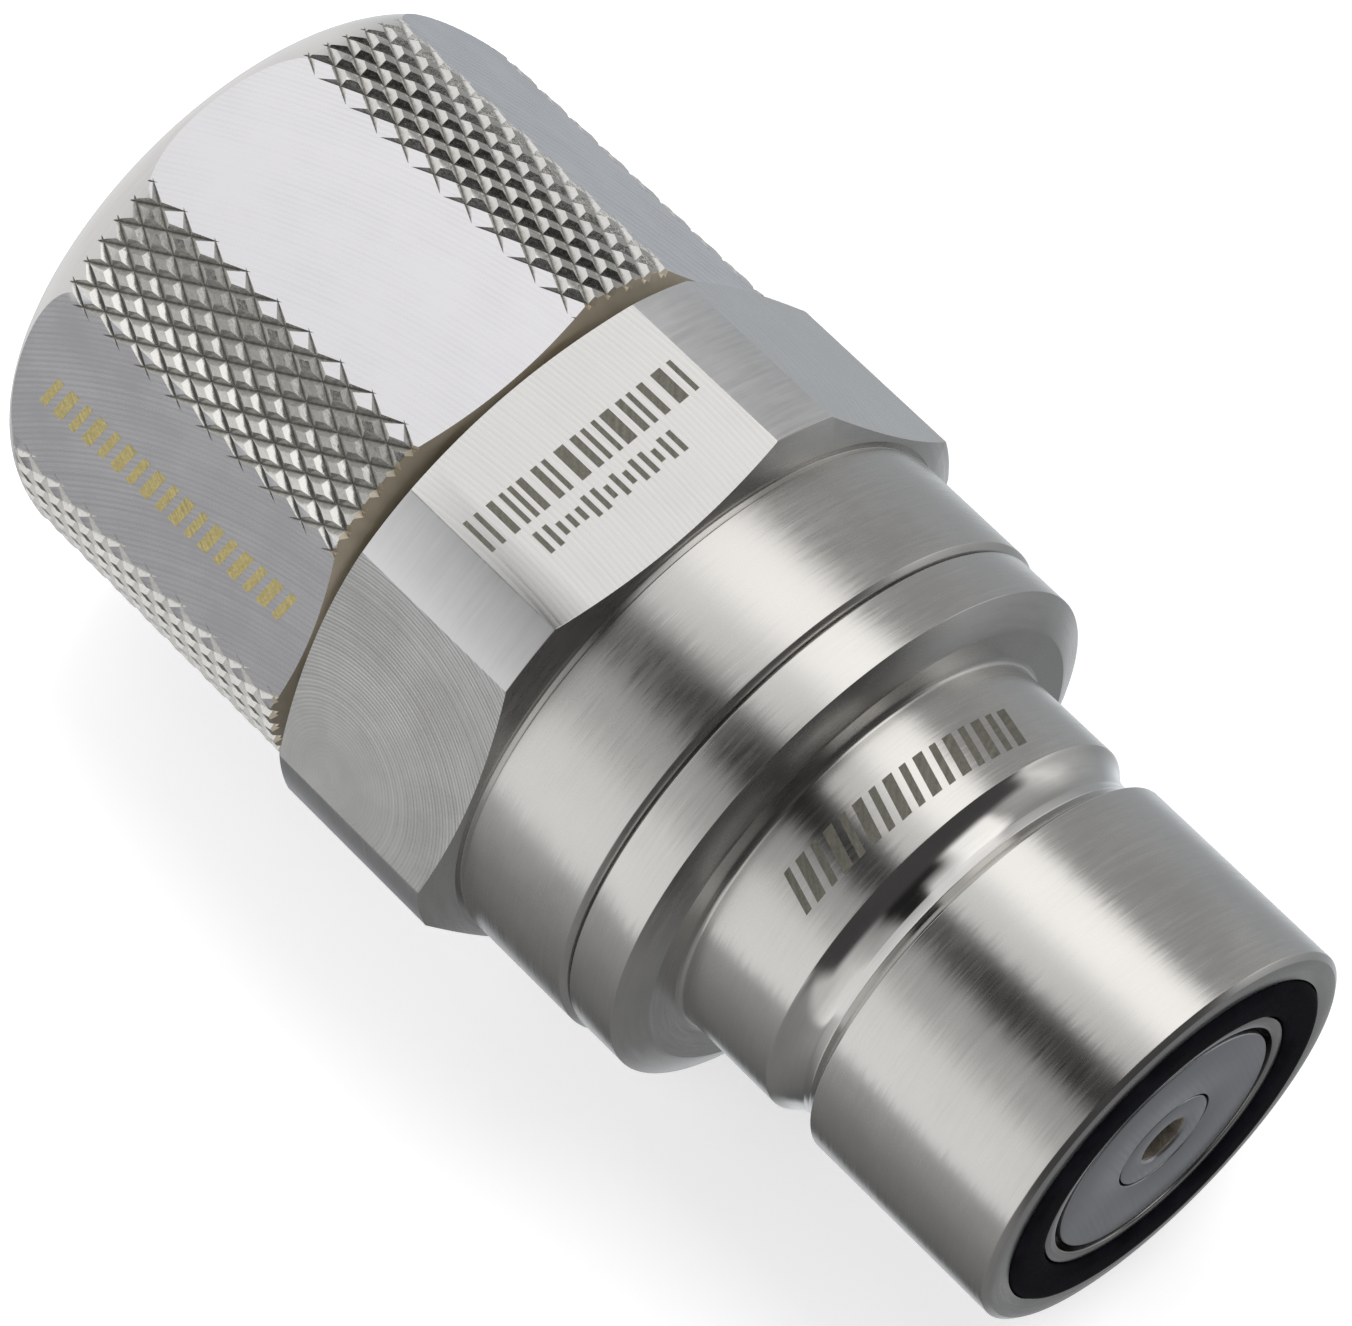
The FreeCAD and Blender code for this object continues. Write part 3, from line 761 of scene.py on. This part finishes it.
def make_poppet():
    """Stem, head and the thin lip ring that shows inside the rubber."""
    shoulder, head, cup, screw_hole = 11.4, 5.5, 4.42, 1.0
    outline = [
        # stem, from its rear tip to the head
        (0.4, 0), (0.4, STEM_RADIUS - 0.3, 0.03), (0.7, STEM_RADIUS, 0.1),
        (shoulder - 0.8, STEM_RADIUS, 0.4), (shoulder, STEM_RADIUS + 0.8, 0.05),
        (shoulder, head - 0.2, 0.05), (shoulder + 0.2, head, 0.05),
        (shoulder + 0.95, head, 0.05), (shoulder + 0.95, LIP_RADIUS, 0.05),
        # lip ring, the cup's floor and the screw's hole
        (FACE, LIP_RADIUS, 0.06), (FACE, cup, 0.06), (CUP_FLOOR, cup, 0.05),
        (CUP_FLOOR, screw_hole, 0.03), (9.4, screw_hole, 0), (9.0, 0),
    ]
    obj = lathe("poppet_cup", outline, ROUND_SMALL)
    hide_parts("poppet")
    return dress(obj, "valve", "valve_metal", lip_steel)


def make_disc():
    """Flat plate inside the lip ring, counterbored for the screw."""
    top, counterbore, hole = FACE - 0.01, 1.83, 1.1
    outline = [
        (CUP_FLOOR, hole, 0), (CUP_FLOOR, DISC_RADIUS, 0.03), (top, DISC_RADIUS, 0.07),
        (top, counterbore, 0.04), (CUP_FLOOR + 0.3, counterbore, 0), (CUP_FLOOR + 0.3, hole, 0),
    ]
    obj = lathe("poppet_face_plate", outline, ROUND_SMALL)
    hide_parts("poppet_disc")
    return dress(obj, "valve", "disc_metal", disc_steel)


def make_screw():
    """Cap screw, flush in the disc, with a hexagon socket in a shallow dish."""
    shank, top, dish = 0.98, FACE - 0.02, FACE - 0.10
    outline = [
        (9.5, 0), (9.5, 0.7, 0.03), (9.8, shank, 0.03), (CUP_FLOOR + 0.3, shank, 0),
        (CUP_FLOOR + 0.3, 1.74, 0.03), (top, 1.76, 0.05), (top, 0.94, 0.04), (dish, 0.86, 0.03),
        (dish, 0),
    ]
    obj = lathe("poppet_cap_screw", outline, 96)
    bm = bmesh.new()
    corner = SOCKET_WIDTH / math.sqrt(3)
    turned_by = math.radians(12)
    bottom = ring_of(bm, FACE - 1.15, corner, 6, turned_by)
    mouth = ring_of(bm, FACE + 0.2, corner, 6, turned_by)
    bridge(bm, bottom, mouth)
    bm.faces.new(bottom)
    bm.faces.new(mouth)
    cut(obj, finish_mesh("socket_broach", bm))
    shade(obj)
    dress(obj, "valve", "screw_metal", screw_steel, socket_grime)
    for face in obj.data.polygons:
        station, radius = whereabouts(face)
        if radius < corner and station > FACE - 1.3:
            face.material_index = 1
    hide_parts("poppet_screw")
    return obj


def make_spring():
    """Closing spring with closed end coils, made at one length; the real spring shortens as the poppet is
    pushed in.
    """
    rear, front = SPRING_SEAT + 0.06, 11.34
    wire, coil = 0.275, 3.0
    turns, closed_turns = 6.5, 0.85
    sides, per_turn = 12, 32
    rows = int(turns * per_turn)
    bm = bmesh.new()
    rings = []
    for row in range(rows + 1):
        turn = turns * row / rows
        active = max(0.0, min(1.0, (turn - closed_turns) / (turns - 2 * closed_turns)))
        station = rear + wire + active * (front - rear - 2 * wire)
        angle = 2 * math.pi * turn
        out = Vector((0, math.cos(angle), math.sin(angle)))
        centre = place(station, coil * out.y, coil * out.z)
        rings.append([
            bm.verts.new(centre + (out * math.cos(t) + Vector((1, 0, 0)) * math.sin(t)) * wire * MM)
            for t in [2 * math.pi * k / sides for k in range(sides)]
        ])
    for ring, other in zip(rings, rings[1:]):
        bridge(bm, ring, other)
    bm.faces.new(rings[0])
    bm.faces.new(rings[-1])
    obj = dress(finish_mesh("closing_spring", bm), "fitting", "spring_wire", wire_steel)
    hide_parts("valve_spring")
    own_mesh(obj)
    return obj


# ---------------------------------------------------------------------------
# Etched marks: plain generic bars, no lettering
# ---------------------------------------------------------------------------
def inside_quad(quad, i, j, cells):
    """The (u, v) point at column i and row j of a square grid laid over a quad."""
    a, b, c, d = quad
    return [
        (a[n] * (cells - i) + b[n] * i) * (cells - j) / cells**2
        + (d[n] * (cells - i) + c[n] * i) * j / cells**2
        for n in (0, 1)
    ]


def plates(name, quads, surface, cells=1, thickness=0.006, sunk=0.03):
    """Thin closed plates. A quad is four (u, v) corners; surface maps (u, v, height) to the row frame."""
    bm = bmesh.new()
    for quad in quads:
        layers = []
        for height in (-sunk, thickness):
            grid = []
            for j in range(cells + 1):
                points = [inside_quad(quad, i, j, cells) for i in range(cells + 1)]
                grid.append([bm.verts.new(surface(u, v, height)) for u, v in points])
            layers.append(grid)
        for grid in layers:
            for j in range(cells):
                for i in range(cells):
                    bm.faces.new((grid[j][i], grid[j][i + 1], grid[j + 1][i + 1], grid[j + 1][i]))
        rims = []
        for grid in layers:
            right, left = [row[-1] for row in grid[:-1]], [row[0] for row in grid[:0:-1]]
            rims.append(grid[0][:-1] + right + grid[-1][:0:-1] + left)
        bridge(bm, *rims)
    return finish_mesh(name, bm)


def flat_surface(angle, apothem):
    """u is a station; v runs across the flat whose normal is at this angle from +Y, upward in angle."""
    out = Vector((0, math.cos(math.radians(angle)), math.sin(math.radians(angle))))
    side = Vector((0, -out.z, out.y))

    def surface(u, v, height):
        offset = out * (apothem + height) + side * v
        return place(u, offset.y, offset.z)
    return surface


def round_surface(radius):
    """u is a station, v an arc length round the axis from straight up, toward -Y."""
    def surface(u, v, height):
        angle = math.pi / 2 + v / radius
        return place(u, (radius + height) * math.cos(angle), (radius + height) * math.sin(angle))
    return surface


def bar(u, v, length, width, lean=0.0, along_u=False):
    """A bar centred on u, v. Its length lies along v, or along u, and it can lean."""
    half, end, shift = width / 2, length / 2, lean * length / 2
    corners = [(-half - shift, -end), (half - shift, -end), (half + shift, end), (-half + shift, end)]
    if along_u:
        return [(u + y, v + x) for x, y in corners]
    return [(u + x, v + y) for x, y in corners]


def make_hex_mark():
    """Upper flat of the hex: a row of bars and a shorter row of ticks, both across the flat."""
    draw = random.Random(4)
    quads = []
    v, bars_end, bars_middle = 4.05, -4.1, -8.83
    while v > bars_end:
        width = draw.choice((0.16, 0.24, 0.38))
        quads.append(bar(bars_middle - 0.03 * v, v - width / 2, 1.3, width, along_u=True))
        v -= width + draw.choice((0.17, 0.24, 0.32))
    v, ticks_end, ticks_middle = 2.75, -2.5, -7.35
    while v > ticks_end:
        length = draw.choice((0.5, 0.85))
        quads.append(bar(ticks_middle - 0.05 * v, v, length, 0.17, along_u=True))
        v -= 0.36
    obj = plates("hex_mark", quads, flat_surface(90, HEX_WIDTH / 2))
    dress(obj, "fitting", "turned_metal", dark_etch)


def make_nut_mark():
    """Side flat of the nut: one line of leaning gold bars, narrow and wide in turn."""
    count, first, spacing = 17, -24.15, 0.665
    quads = []
    for k in range(count):
        width = (0.30, 0.42)[k % 2]
        quads.append(bar(first + spacing * k, 0.45 - 0.03 * k, 1.25, width, lean=-0.3))
    obj = plates("nut_mark", quads, flat_surface(150, NUT_FLAT))
    dress(obj, "nut", "nut_metal", gold_etch)


def make_neck_mark():
    """Neck: leaning dark bars round the axis, narrow and wide in turn."""
    count, first, spacing, middle = 16, 4.15, 0.575, 4.40
    quads = []
    for k in range(count):
        width = (0.26, 0.38)[k % 2]
        quads.append(bar(middle + 0.03 * k, first - spacing * k, 1.35, width, lean=0.32, along_u=True))
    obj = plates("neck_mark", quads, round_surface(NOSE_RADIUS), cells=3)
    dress(obj, "fitting", "nose_metal", dark_etch)


# ---------------------------------------------------------------------------
# Assembly
# ---------------------------------------------------------------------------
make_adapter()
make_thread(
    "adapter_thread", "fitting", "turned_metal",
    rear=STUB_REAR, front=-12.9, sleeve=7.3, core=STUB_RADIUS, crest=8.45,
)
make_nut()
make_thread(
    "nut_thread", "nut", "nut_metal",
    rear=-19.0, front=-12.95, sleeve=8.95, core=NUT_BORE, crest=8.02,
)
make_nose()
make_face_seal()
make_poppet()
make_disc()
make_screw()
make_spring()
make_hex_mark()
make_nut_mark()
make_neck_mark()

# The other hidden pieces keep the CAD's own meshes
CARRIED = {
    "clamp_ring": acetal, "poppet_seal": seal_black, "spring_seat": inner_steel, "stem_guide": inner_steel,
    "stem_bushing": ptfe, "guide_retaining_ring": wire_steel, "body_joint_seal": seal_black,
}
for node, material in CARRIED.items():
    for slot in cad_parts[node].material_slots:
        slot.material = material


# ---------------------------------------------------------------------------
# Floor, light and camera
# ---------------------------------------------------------------------------
def make_floor():
    """A pale floor that brightens itself a little, as a lit table does."""
    half = 3.0
    corners = ((-half, -half, 0), (half, -half, 0), (half, half, 0), (-half, half, 0))
    bm = bmesh.new()
    bm.faces.new([bm.verts.new(corner) for corner in corners])
    obj = finish_mesh("floor", bm)
    g = Graph(bpy.data.materials.new("floor_paint"))
    coords = g.node("ShaderNodeTexCoord").outputs["Object"]
    cloud = g.noise(coords, 6.0, 2.0)
    base = g.mix(cloud, (0.89, 0.89, 0.895, 1), (0.91, 0.91, 0.915, 1))
    obj.data.materials.append(g.shader({
        "Roughness": 0.9, "Specular IOR Level": 0.1,
        "Emission Color": (1, 1, 1, 1), "Emission Strength": 0.36,
    }, Base_Color=base))
    obj.visible_glossy = False


def add_fill(name, degrees, distance, size, power):
    """A large soft light for the floor, at an angle from straight up toward -Y, facing the axis."""
    light = bpy.data.lights.new(name, "AREA")
    light.shape = "SQUARE"
    light.size = size
    light.energy = power
    obj = bpy.data.objects.new(name, light)
    bpy.context.scene.collection.objects.link(obj)
    back = Vector((0, -math.sin(math.radians(degrees)), math.cos(math.radians(degrees))))
    obj.location = back * distance
    obj.rotation_euler = back.to_track_quat("Z", "Y").to_euler()
    obj.visible_glossy = False


def ramp(graph, degrees, stops):
    """Light by the angle round the axis, from (angle, brightness, warmth) stops."""
    made = graph.node("ShaderNodeValToRGB", None, Fac=graph.spread(degrees, -180, 180, 0, 1))
    elements = made.color_ramp.elements
    while len(elements) < len(stops):
        elements.new(1)
    for element, (angle, level, warmth) in zip(elements, stops):
        element.position = (angle + 180) / 360
        element.color = (level * (1 + warmth), level, level * (1 - warmth), 1)
    return made.outputs[0]


# Soft boxes, gaps between them and the room's walls, as they lie round the axis:
# (degrees from straight up toward -Y, brightness, warmth)
BEHIND = (
    (-180, 0.70, -0.03), (-152, 0.87, -0.04), (-130, 0.48, -0.05), (-103, 0.46, -0.03), (-79, 0.40, 0.0),
    (-52, 0.42, 0.0), (-43, 1.65, 0.01), (-21, 1.65, 0.01), (-10, 1.05, 0.0), (5, 1.02, 0.0),
    (9, 0.02, 0.0), (26, 0.02, 0.0), (34, 0.52, 0.0), (50, 0.64, 0.0), (62, 1.08, 0.0),
    (97, 1.22, -0.01), (101, 0.46, 0.0), (112, 0.42, 0.0), (130, 0.28, 0.0), (150, 0.20, 0.0),
    (168, 0.11, -0.02), (176, 0.70, -0.03), (180, 0.70, -0.03),
)
AHEAD = (
    (-180, 0.22, -0.02), (-150, 0.26, -0.03), (-127, 0.43, -0.03), (-105, 0.65, 0.0), (-88, 1.10, 0.0),
    (-70, 0.60, 0.0), (-47, 0.50, 0.0), (-41, 1.55, 0.01), (-17, 1.50, 0.0), (-10, 0.60, 0.0),
    (-6, 0.02, 0.0), (30, 0.02, 0.0), (38, 0.40, 0.0), (62, 0.8, 0.0), (92, 0.8, 0.0),
    (102, 0.38, 0.0), (150, 0.26, 0.0), (180, 0.22, -0.02),
)


def make_world():
    """The studio: BEHIND for directions toward -X, AHEAD for those toward +X, and two end walls."""
    bright_wall, dark_wall = (1.12, 1.12, 1.14, 1), (0.080, 0.078, 0.080, 1)
    world = bpy.data.worlds.new("studio")
    g = Graph(world)
    direction = g.node("ShaderNodeTexCoord").outputs["Generated"]
    ahead, left, up = g.node("ShaderNodeSeparateXYZ", None, Vector=direction).outputs
    degrees = g.times(g.math("ARCTAN2", g.times(left, -1.0), up), 180 / math.pi)
    blend = g.spread(ahead, -0.2, 0.3, 0.0, 1.0)
    level = g.mix(blend, ramp(g, degrees, BEHIND), ramp(g, degrees, AHEAD))
    level = g.mix(g.spread(ahead, -0.5, -0.8, 0.0, 1.0), level, bright_wall)
    # the dark wall reaches further round for directions that point up
    raised = g.spread(up, -0.1, 0.25, 0.0, 0.3)
    dark_end = g.spread(g.add(ahead, raised), 0.72, 0.88, 0.0, 1.0)
    level = g.mix(dark_end, level, dark_wall)
    sky = g.node("ShaderNodeBackground", None, Color=level, Strength=1.0)
    out = g.node("ShaderNodeOutputWorld")
    g.tree.links.new(sky.outputs[0], out.inputs["Surface"])
    return world


# The camera's place in metres and the directions of the picture's right and top edges,
# recovered from the photograph's view of the turned edges
CAMERA_PLACE = Vector((0.07539, -0.05317, 0.20233))
CAMERA_RIGHT = Vector((0.6736, 0.7366, -0.0616))
CAMERA_UP = Vector((-0.6480, 0.6286, 0.4301))


def make_camera():
    """The camera at the photograph's viewing angle."""
    data = bpy.data.cameras.new("camera")
    data.sensor_width = 36
    data.lens = 186.8
    data.clip_start, data.clip_end = 0.01, 20
    camera = bpy.data.objects.new("camera", data)
    bpy.context.scene.collection.objects.link(camera)
    right = CAMERA_RIGHT.normalized()
    backward = right.cross(CAMERA_UP.normalized()).normalized()
    upward = backward.cross(right)
    camera.matrix_world = Matrix((
        (right.x, upward.x, backward.x, CAMERA_PLACE.x),
        (right.y, upward.y, backward.y, CAMERA_PLACE.y),
        (right.z, upward.z, backward.z, CAMERA_PLACE.z),
        (0, 0, 0, 1),
    ))
    return camera


make_floor()
add_fill("fill_far", -35, distance=0.9, size=0.9, power=3.0)
add_fill("fill_near", 40, distance=0.9, size=0.9, power=3.0)
scene = bpy.context.scene
scene.world = make_world()
scene.view_settings.view_transform = "Standard"
scene.camera = make_camera()
